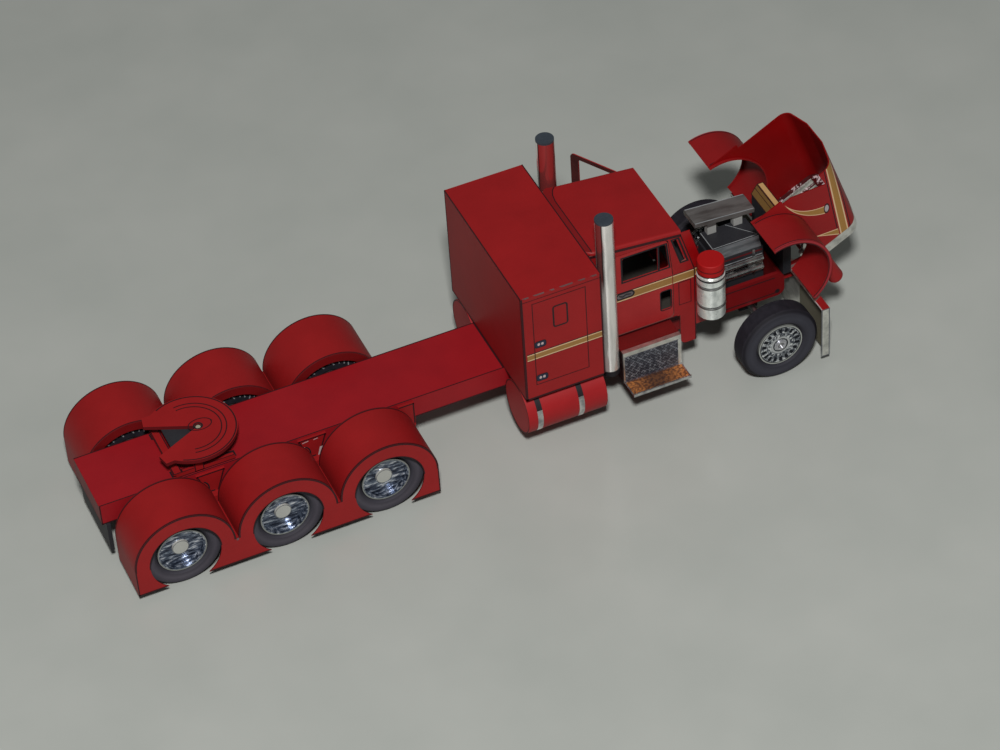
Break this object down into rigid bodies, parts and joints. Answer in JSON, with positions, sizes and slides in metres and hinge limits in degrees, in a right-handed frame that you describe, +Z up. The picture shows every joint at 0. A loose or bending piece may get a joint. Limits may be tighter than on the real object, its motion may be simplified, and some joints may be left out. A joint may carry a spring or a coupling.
{
  "type": "paper model of a semi truck tractor unit",
  "caption": "Small red card model of a long-nosed road tractor with a sleeper, a low coupling deck, rear fenders, rolling wheels, swinging doors and a forward-tilting hood.",
  "frame": {"origin": "middle of the footprint on the floor, under the coupling deck's front half", "axes": "+X forward to the bumper, +Y to the driver's side (left), +Z up"},
  "size_m": [0.2022, 0.0527, 0.0629],
  "materials": {
    "red_card": "matt printed deep red",
    "red_gloss": "glossy printed red",
    "foil": "bright silver foil card",
    "dark_card": "matt printed black",
    "tyre_card": "matt printed dark grey",
    "gold_card": "matt printed gold",
    "wire": "plain wire"
  },
  "bodies": {
    "chassis": {"frame_box": "red_card", "axle_bearers": "red_card", "tail_plate": "dark_card", "rear_fender_crown_left": "red_card", "rear_fender_crown_right": "red_card", "rear_fender_outer_left": "red_card", "rear_fender_outer_right": "red_card", "rear_fender_inner_left": "red_card", "rear_fender_inner_right": "red_card", "fender_webs": "red_card", "coupling_plate": "red_card", "coupling_bed": "dark_card", "coupling_base": "red_card", "sleeper_box": "red_card", "sleeper_front": "red_card", "cab_side_left": "red_card", "cab_side_right": "red_card", "cab_floor": "red_card", "cab_roof": "red_card", "windscreen_frame": "red_card", "cowl": "red_gloss", "seats": "dark_card", "dashboard": "dark_card", "steering_wheel": "dark_card", "exhaust_stack_left": "foil", "exhaust_stack_right": "foil", "stack_caps": "dark_card", "fuel_tank_left": "red_card", "fuel_tank_right": "red_card", "step_box_left": "red_card", "step_box_right": "red_card", "air_cleaner_can": "foil", "air_cleaner_cap": "red_card", "engine_block": "dark_card", "engine_cover": "dark_card", "intake_duct": "foil", "side_pipes": "foil", "radiator": "dark_card", "header_tank": "gold_card", "bumper": "foil", "hinge_bracket": "red_card"},
    "hood": {"hood_shell": "red_gloss", "grille": "foil", "front_fender_left": "red_card", "front_fender_right": "red_card", "lamp_pods": "red_card"},
    "door_left": {"door_left": "red_card"},
    "door_right": {"door_right": "red_card"},
    "front_axle": {"front_tyres": "tyre_card", "front_rims": "foil", "front_axle_rod": "wire"},
    "rear_axle_1": {"rear_tyres_1": "tyre_card", "rear_rims_1": "foil", "rear_axle_rod_1": "wire"},
    "rear_axle_2": {"rear_tyres_2": "tyre_card", "rear_rims_2": "foil", "rear_axle_rod_2": "wire"},
    "rear_axle_3": {"rear_tyres_3": "tyre_card", "rear_rims_3": "foil", "rear_axle_rod_3": "wire"}
  },
  "joints": [
    {"name": "hood_tilt", "type": "hinge", "parent": "chassis", "child": "hood", "pos_m": [0.0879, 0, 0.0189], "axis": [0, -1, 0], "range_deg": [0, 62]},
    {"name": "door_left_swing", "type": "hinge", "parent": "chassis", "child": "door_left", "pos_m": [0.0475, 0.0136, 0.0216], "axis": [0, 0, -1], "range_deg": [-60, 15]},
    {"name": "door_right_swing", "type": "hinge", "parent": "chassis", "child": "door_right", "pos_m": [0.0475, -0.0136, 0.0216], "axis": [0, 0, 1], "range_deg": [0, 75]},
    {"name": "front_axle_spin", "type": "hinge", "parent": "chassis", "child": "front_axle", "pos_m": [0.0714, 0, 0.0104], "axis": [0, 1, 0], "continuous": true},
    {"name": "rear_axle_1_spin", "type": "hinge", "parent": "chassis", "child": "rear_axle_1", "pos_m": [-0.0859, 0, 0.0105], "axis": [0, 1, 0], "continuous": true},
    {"name": "rear_axle_2_spin", "type": "hinge", "parent": "chassis", "child": "rear_axle_2", "pos_m": [-0.05985, 0, 0.0105], "axis": [0, 1, 0], "continuous": true},
    {"name": "rear_axle_3_spin", "type": "hinge", "parent": "chassis", "child": "rear_axle_3", "pos_m": [-0.0338, 0, 0.0105], "axis": [0, 1, 0], "continuous": true}
  ]
}
